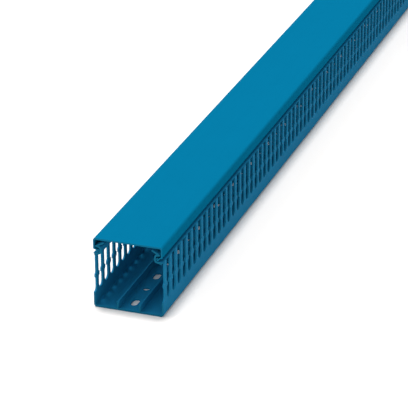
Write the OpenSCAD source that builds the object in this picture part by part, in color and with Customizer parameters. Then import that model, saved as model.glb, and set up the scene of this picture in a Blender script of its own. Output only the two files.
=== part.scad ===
/* [Duct] */
// Length of the duct and of its cover
length = 1000; // [500:50:1000]
// Outside width
width = 60; // [40:5:120]
// Outside height with the cover on
height = 61.5; // [51.5:5:101.5]
// Thickness of the walls
wall_t = 1.4; // [1.2:0.1:1.6]
// Thickness of the floor
floor_t = 1.6; // [1.2:0.1:2.4]
// Outside radius of the two bottom corners
corner_r = 2.6; // [1.8:0.1:3]

/* [Wall slots] */
// Distance from one slot to the next
pitch = 12.5; // [12:0.5:20]
// Width of a slot
slot_w = 8; // [7:0.25:8.5]
// Height of the slot's round bottom above the underside
slot_z = 13; // [11:0.5:16]
// Height of the middle of the retaining nubs
nub_z = 26.5; // [24:0.5:30]
// How far a nub stands into the slot
nub_out = 1.7; // [1:0.1:2]
// Height of a nub where it leaves the finger
nub_h = 5.4; // [4:0.2:7]
// Height of a nub's flat tip
nub_tip_h = 2.8; // [1:0.2:3.6]

/* [Floor] */
// Distance from one floor hole to the next, elongated and round in turn
hole_pitch = 25; // [25:12.5:50]
// Distance from the near end to the middle of the first hole
hole_y0 = 15; // [12:0.5:20]
// Width of an elongated hole, and diameter of a round one
hole_d = 6; // [4:0.5:7]
// Length of an elongated hole
hole_l = 12; // [9:0.5:16]
// Distance from the middle of the floor to each rib
rib_x = 9.5; // [7:0.5:12]
// Thickness of a rib
rib_t = 1.4; // [1:0.1:2]
// Height of a rib's top above the underside
rib_z = 7.5; // [4:0.5:9]

/* [Cover] */
// How far the cover's skirts stand in from the outer faces of the walls
cover_in = 0.5; // [0.3:0.1:0.7]
// Thickness of the cover's top
cover_t = 1.4; // [1.2:0.1:1.6]
// Thickness of the cover's skirts
skirt_t = 1.2; // [1:0.1:1.3]
// Outside radius of the cover's two top edges
cover_r = 2; // [1.4:0.1:3]

/* [Hidden] */

hw = width / 2;
slots = round(length / pitch);
step = length / slots;
holes = floor((length - hole_y0 - hole_l) / hole_pitch) + 1;

// Points along an arc in the cross-section
function arc(x, z, r, a0, a1, n) =
    [for (i = [0 : n]) let (a = a0 + (a1 - a0) * i / n) [x + r * cos(a), z + r * sin(a)]];

// Half an outline, from the middle out to the right and back, made whole
function both_sides(half) =
    concat(half, [for (i = [len(half) - 1 : -1 : 0]) [-half[i][0], half[i][1]]]);

// The clip along the top of a wall: a rounded groove, and above it a lip that
// leans inwards. Each point is the distance in from the wall's outer face and
// down from the top of the cover.
clip_out = [
    [0.0, 14.4], [0.3, 13.6], [1.0, 13.0], [2.0, 12.8], [4.8, 12.8], [5.6, 12.4],
    [6.0, 11.7], [6.0, 9.1], [5.6, 8.4], [4.9, 8.1], [2.9, 7.8], [2.4, 7.5],
    [2.3, 7.0], [2.6, 6.5], [9.2, 2.9]];
clip_in = [
    [9.8, 4.0], [5.0, 6.6], [6.1, 7.0], [7.0, 7.7], [7.4, 8.7], [7.4, 12.2],
    [6.6, 13.6], [5.3, 14.2], [3.3, 14.3], [1.8, 15.1]];

function clip(points) = [for (p = points) [hw - p[0], height - p[1]]];

// Heights where the walls begin above the floor, and where their clips begin
wall_z0 = slot_z - 2;
wall_z1 = height - clip_in[len(clip_in) - 1][1];
slot_top = height - 13.75;

floor_half = concat(
    [[0, 0]],
    arc(hw - corner_r, corner_r, corner_r, -90, 0, 6),
    [[hw, wall_z0], [hw - wall_t, wall_z0]],
    arc(hw - wall_t - 1, floor_t + 1, 1, 0, -90, 3),
    [[rib_x + rib_t / 2, floor_t], [rib_x + rib_t / 2, rib_z],
     [rib_x - rib_t / 2, rib_z], [rib_x - rib_t / 2, floor_t], [0, floor_t]]);

// The cover's section: a flat top, a skirt on each side, and a bead rolled
// inwards along each skirt's lower edge. The bead's two lists run along its
// outside and its inside, measured like the clip's.
bead_out = [
    [cover_in, 9.1], [0.9, 9.7], [2.4, 10.0], [3.0, 10.5], [3.4, 11.3], [4.1, 11.8],
    [4.9, 11.6], [5.4, 10.9], [5.4, 10.0], [4.9, 9.4], [4.3, 9.3]];
bead_in = [
    [4.3, 10.1], [4.6, 10.4], [4.6, 10.8], [4.2, 11.0], [3.9, 10.7], [3.7, 10.0],
    [3.0, 9.3], [cover_in + skirt_t + 0.3, 9.0], [cover_in + skirt_t, 8.6]];

cover_hw = hw - cover_in;
cover_half = concat(
    [[0, height]],
    arc(cover_hw - cover_r, height - cover_r, cover_r, 90, 0, 6),
    clip(bead_out),
    clip(bead_in),
    [[cover_hw - skirt_t, height - cover_t - 0.8], [cover_hw - skirt_t - 0.8, height - cover_t],
     [0, height - cover_t]]);

// Half the outline of the gap between two fingers, from its round bottom up to
// where the clip begins
gap_side = concat(
    arc(0, slot_z + slot_w / 2, slot_w / 2, -90, 0, 5),
    [[slot_w / 2, nub_z - nub_h / 2], [slot_w / 2 - nub_out, nub_z - nub_tip_h / 2],
     [slot_w / 2 - nub_out, nub_z + nub_tip_h / 2], [slot_w / 2, nub_z + nub_h / 2],
     [slot_w / 2, wall_z1]]);

// The points of gap k, from its left top corner down and up to its right one
function gap(k) = let (y = k * step - length / 2) concat(
    [for (i = [len(gap_side) - 1 : -1 : 1]) [y - gap_side[i][0], gap_side[i][1]]],
    [for (p = gap_side) [y + p[0], p[1]]]);

// Half a gap at each end of the duct, and whole ones between
fingers = concat(
    [[-length / 2, wall_z0]],
    [for (p = gap_side) [p[0] - length / 2, p[1]]],
    [for (k = [1 : slots - 1]) each gap(k)],
    [for (i = [len(gap_side) - 1 : -1 : 0]) [length / 2 - gap_side[i][0], gap_side[i][1]]],
    [[length / 2, wall_z0]]);

// Sweeps a cross-section along the length
module run() {
    translate([0, length / 2, 0]) rotate([90, 0, 0]) linear_extrude(height = length) children();
}

// The row of fingers of one wall: side is 1 for the right wall, -1 for the left
module wall(side) {
    translate([side > 0 ? hw - wall_t : -hw, 0, 0])
        rotate([90, 0, 90]) linear_extrude(height = wall_t) polygon(fingers);
}

// The clip along the top of one wall, with the tops of the slots cut into it
module wall_clip(side) {
    difference() {
        mirror([side > 0 ? 0 : 1, 0, 0])
            run() polygon(concat(
                [[hw - wall_t, wall_z1], [hw, wall_z1]], clip(clip_out), clip(clip_in)));
        for (k = [0 : slots])
            translate([side > 0 ? hw - wall_t : -hw - 1, k * step - length / 2 - slot_w / 2, wall_z1 - 1])
                cube([wall_t + 1, slot_w, slot_top - wall_z1 + 1]);
    }
}

// The floor's single row of holes, an elongated one first
module floor_holes() {
    for (k = [0 : holes - 1])
        translate([0, hole_y0 + k * hole_pitch - length / 2])
            if (k % 2 == 0) {
                square([hole_d, hole_l - hole_d], center = true);
                for (s = [-1, 1])
                    translate([0, s * (hole_l - hole_d) / 2]) circle(d = hole_d, $fn = 48);
            } else {
                circle(d = hole_d, $fn = 48);
            }
}

// The floor with its ribs and the foot of each wall
module duct_floor() {
    difference() {
        run() polygon(both_sides(floor_half));
        translate([0, 0, -1]) linear_extrude(height = floor_t + 2) floor_holes();
    }
}

// The channel: floor, ribs, slotted walls and clips are one extrusion
module duct() {
    color([0.06, 0.41, 0.56]) {
        duct_floor();
        wall(1);
        wall(-1);
        wall_clip(1);
        wall_clip(-1);
    }
}

// The clip-on cover, one extrusion
module cover() {
    color([0.03, 0.49, 0.66])
    run() polygon(both_sides(cover_half));
}

duct();
cover();
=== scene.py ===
import math

import bpy
from mathutils import Matrix, Vector


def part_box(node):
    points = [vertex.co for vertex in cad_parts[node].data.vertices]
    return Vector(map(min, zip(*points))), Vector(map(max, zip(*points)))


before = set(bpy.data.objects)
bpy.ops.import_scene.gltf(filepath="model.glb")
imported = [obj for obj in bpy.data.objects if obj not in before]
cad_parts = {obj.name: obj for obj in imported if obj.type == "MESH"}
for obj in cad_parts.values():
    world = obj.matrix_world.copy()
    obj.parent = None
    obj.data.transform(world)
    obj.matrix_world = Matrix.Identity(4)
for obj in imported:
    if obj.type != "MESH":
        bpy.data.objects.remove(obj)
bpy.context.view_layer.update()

LO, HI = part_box("duct")


# ---------------------------------------------------------------- materials

def tree_of(name):
    mat = bpy.data.materials.new(name)
    mat.use_nodes = True
    nt = mat.node_tree
    nt.nodes.clear()
    return mat, nt


def math_node(nt, op, a, b=None, clamp=False):
    n = nt.nodes.new("ShaderNodeMath")
    n.operation = op
    n.use_clamp = clamp
    for i, v in enumerate((a, b)):
        if v is None:
            continue
        if isinstance(v, (int, float)):
            n.inputs[i].default_value = v
        else:
            nt.links.new(v, n.inputs[i])
    return n.outputs[0]


def smooth_step(nt, value, lo, hi):
    n = nt.nodes.new("ShaderNodeMapRange")
    n.interpolation_type = "SMOOTHSTEP"
    nt.links.new(value, n.inputs["Value"])
    n.inputs["From Min"].default_value = lo
    n.inputs["From Max"].default_value = hi
    return n.outputs["Result"]


def stretched(nt, coords, scale):
    m = nt.nodes.new("ShaderNodeMapping")
    m.inputs["Scale"].default_value = scale
    nt.links.new(coords, m.inputs["Vector"])
    return m.outputs["Vector"]


def noise(nt, vector, scale, detail=2.0, rough=0.5):
    n = nt.nodes.new("ShaderNodeTexNoise")
    n.inputs["Scale"].default_value = scale
    n.inputs["Detail"].default_value = detail
    n.inputs["Roughness"].default_value = rough
    nt.links.new(vector, n.inputs["Vector"])
    return n.outputs["Fac"]


def mix_colour(nt, fac, a, b, blend="MIX"):
    n = nt.nodes.new("ShaderNodeMix")
    n.data_type = "RGBA"
    n.blend_type = blend
    sockets = [s for s in n.inputs if s.type == "RGBA"]
    for s, v in zip(sockets, (a, b)):
        if isinstance(v, tuple):
            s.default_value = v
        else:
            nt.links.new(v, s)
    if isinstance(fac, (int, float)):
        n.inputs["Factor"].default_value = fac
    else:
        nt.links.new(fac, n.inputs["Factor"])
    return [s for s in n.outputs if s.type == "RGBA"][0]


def pvc(name, colour, cut_colour, roughness, specular):
    """Extruded PVC: fine die lines along the length, a little mottling, and rougher faces where the
    length was sawn and the slots punched.
    The slot faces are painted halfway toward the cut colour and the sawn ends take it fully; on the
    duct that colour is darker, a painted shade."""
    mat, nt = tree_of(name)
    out = nt.nodes.new("ShaderNodeOutputMaterial")
    bsdf = nt.nodes.new("ShaderNodeBsdfPrincipled")
    nt.links.new(bsdf.outputs["BSDF"], out.inputs["Surface"])
    bsdf.inputs["Specular IOR Level"].default_value = specular

    coord = nt.nodes.new("ShaderNodeTexCoord")
    pos = coord.outputs["Object"]
    sep = nt.nodes.new("ShaderNodeSeparateXYZ")
    nt.links.new(pos, sep.inputs[0])
    nsep = nt.nodes.new("ShaderNodeSeparateXYZ")
    nt.links.new(coord.outputs["Normal"], nsep.inputs[0])

    facing_y = math_node(nt, "ABSOLUTE", nsep.outputs["Y"])
    across = smooth_step(nt, facing_y, 0.80, 0.95)            # faces across the length
    far = math_node(nt, "ABSOLUTE", sep.outputs["Y"])
    at_end = smooth_step(nt, far, HI.y - 0.0006, HI.y - 0.0003)
    sawn = math_node(nt, "MULTIPLY", across, at_end)          # the two sawn ends
    punched_face_shade = math_node(nt, "SUBTRACT", across, sawn, clamp=True)

    # die lines: long streaks that hardly change along the length
    streak = noise(nt, stretched(nt, pos, (1.0, 0.004, 1.0)), 900.0, 3.0, 0.6)
    broad = noise(nt, stretched(nt, pos, (1.0, 0.02, 1.0)), 90.0, 2.0, 0.5)
    mottle = noise(nt, pos, 34.0, 3.0, 0.55)

    tone = math_node(nt, "ADD",
                     math_node(nt, "MULTIPLY", math_node(nt, "SUBTRACT", broad, 0.5), 0.10),
                     math_node(nt, "MULTIPLY", math_node(nt, "SUBTRACT", mottle, 0.5), 0.10))
    tone = math_node(nt, "ADD", tone,
                     math_node(nt, "MULTIPLY", math_node(nt, "SUBTRACT", streak, 0.5), 0.05))
    tone = math_node(nt, "ADD", tone, 0.5, clamp=True)
    darker = tuple(c * 0.80 for c in colour[:3]) + (1.0,)
    lighter = tuple(min(1.0, c * 1.20) for c in colour[:3]) + (1.0,)
    body = mix_colour(nt, tone, darker, lighter)
    # painted shade: faces across the length inside the slots are mixed halfway toward the cut
    # colour, which on the duct is darker than the body
    body = mix_colour(nt, math_node(nt, "MULTIPLY", punched_face_shade, 0.5), body, cut_colour)

    # saw marks on the ends: fine, slanting, uneven
    saw = nt.nodes.new("ShaderNodeTexWave")
    saw.wave_type = "BANDS"
    saw.bands_direction = "Z"
    saw.inputs["Scale"].default_value = 420.0
    saw.inputs["Distortion"].default_value = 3.0
    saw.inputs["Detail"].default_value = 2.0
    saw.inputs["Detail Scale"].default_value = 3.0
    tilt = nt.nodes.new("ShaderNodeMapping")
    tilt.inputs["Rotation"].default_value = (0.0, math.radians(18), 0.0)
    nt.links.new(pos, tilt.inputs["Vector"])
    nt.links.new(tilt.outputs["Vector"], saw.inputs["Vector"])
    # painted shade on the duct's sawn ends: they take the cut colour, darker than the body, banded
    # with saw marks
    dark_cut = tuple(c * 0.86 for c in cut_colour[:3]) + (1.0,)
    ends = mix_colour(nt, saw.outputs["Fac"], dark_cut, cut_colour)
    body = mix_colour(nt, sawn, body, ends)
    nt.links.new(body, bsdf.inputs["Base Color"])

    rough = math_node(nt, "ADD", roughness,
                      math_node(nt, "MULTIPLY", math_node(nt, "SUBTRACT", mottle, 0.5), 0.10))
    rough = math_node(nt, "ADD", rough,
                      math_node(nt, "MULTIPLY", math_node(nt, "SUBTRACT", streak, 0.5), 0.08))
    rough = math_node(nt, "ADD", rough, math_node(nt, "MULTIPLY", across, 0.22), clamp=True)
    nt.links.new(rough, bsdf.inputs["Roughness"])

    # relief: die lines everywhere but the cut faces, saw marks on the ends
    lines = math_node(nt, "MULTIPLY", streak, math_node(nt, "SUBTRACT", 1.0, across))
    marks = math_node(nt, "MULTIPLY", saw.outputs["Fac"], sawn)
    grain = math_node(nt, "MULTIPLY", noise(nt, pos, 2600.0, 2.0, 0.6), 0.25)
    relief = math_node(nt, "ADD", math_node(nt, "ADD", lines, marks), grain)
    bump = nt.nodes.new("ShaderNodeBump")
    bump.inputs["Strength"].default_value = 0.35
    bump.inputs["Distance"].default_value = 0.00004
    nt.links.new(relief, bump.inputs["Height"])
    nt.links.new(bump.outputs["Normal"], bsdf.inputs["Normal"])
    return mat


# Duct and cover are the same PVC. The cover's base colour is set lower than the duct's to make up
# for the stronger light on its top, so the split between the two is painted shade; the duct's
# darker cut colour is painted shade on its slot faces and sawn ends.
duct_mat = pvc("duct_pvc_blue", (0.009, 0.162, 0.314, 1.0), (0.007, 0.112, 0.195, 1.0), 0.55, 0.006)
cover_mat = pvc("cover_pvc_blue", (0.001, 0.126, 0.240, 1.0), (0.006, 0.132, 0.240, 1.0), 0.55, 0.0)

for name, mat in (("duct", duct_mat), ("cover", cover_mat)):
    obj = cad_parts[name]
    obj.data.materials.clear()
    obj.data.materials.append(mat)

# ---------------------------------------------------------------- the set

floor_mat, nt = tree_of("studio_floor")
out = nt.nodes.new("ShaderNodeOutputMaterial")
fb = nt.nodes.new("ShaderNodeBsdfPrincipled")
fb.inputs["Roughness"].default_value = 0.9
fb.inputs["Specular IOR Level"].default_value = 0.1
nt.links.new(fb.outputs["BSDF"], out.inputs["Surface"])
fb.inputs["Base Color"].default_value = (0.83, 0.803, 0.781, 1.0)

bpy.ops.mesh.primitive_plane_add(size=60.0, location=(0.0, 0.0, LO.z - 0.0001))
ground = bpy.context.object
ground.name = "floor"
ground.data.materials.append(floor_mat)

world = bpy.data.worlds.new("studio")
bpy.context.scene.world = world
world.use_nodes = True
bg = world.node_tree.nodes["Background"]
bg.inputs["Color"].default_value = (0.97, 1.0, 1.02, 1.0)
bg.inputs["Strength"].default_value = 0.46


def soft_light(name, towards, strength, angle):
    """A softbox so far away that it lights the whole set evenly."""
    light = bpy.data.lights.new(name, "SUN")
    light.energy = strength
    light.angle = math.radians(angle)
    obj = bpy.data.objects.new(name, light)
    bpy.context.collection.objects.link(obj)
    obj.location = Vector(towards).normalized() * 4.0
    obj.rotation_mode = "QUATERNION"
    obj.rotation_quaternion = Vector(towards).to_track_quat("Z", "Y")
    return obj


soft_light("overhead", (-0.08, 0.14, 1.0), 2.5, 13)
soft_light("left_fill", (-1.0, -0.15, 0.75), 1.6, 60)
soft_light("right_fill", (1.0, -0.25, 0.70), 0.15, 80)
soft_light("front_fill", (-0.05, -1.0, 0.35), 0.95, 80)

# ---------------------------------------------------------------- camera

FOCAL = 186.938
RIGHT = Vector((0.9432425324381337, 0.3320705446956031, -0.0047621786255369215))
UP = Vector((-0.13395104136400043, 0.39352940778550904, 0.9095008101840735))
LOOK = Vector((-0.303892486773194, 0.8572419486665079, -0.4156748704567695))
EYE = Vector((0.563567, -1.90712, 0.78726))

cam_data = bpy.data.cameras.new("camera")
cam_data.sensor_width = 36.0
cam_data.lens = FOCAL
cam_data.clip_start = 0.05
cam_data.clip_end = 100.0
cam = bpy.data.objects.new("camera", cam_data)
bpy.context.collection.objects.link(cam)
m = Matrix((RIGHT, UP, -LOOK)).transposed().to_4x4()
m.translation = EYE
cam.matrix_world = m
bpy.context.scene.camera = cam

scene = bpy.context.scene
scene.view_settings.view_transform = "Standard"
scene.view_settings.look = "None"
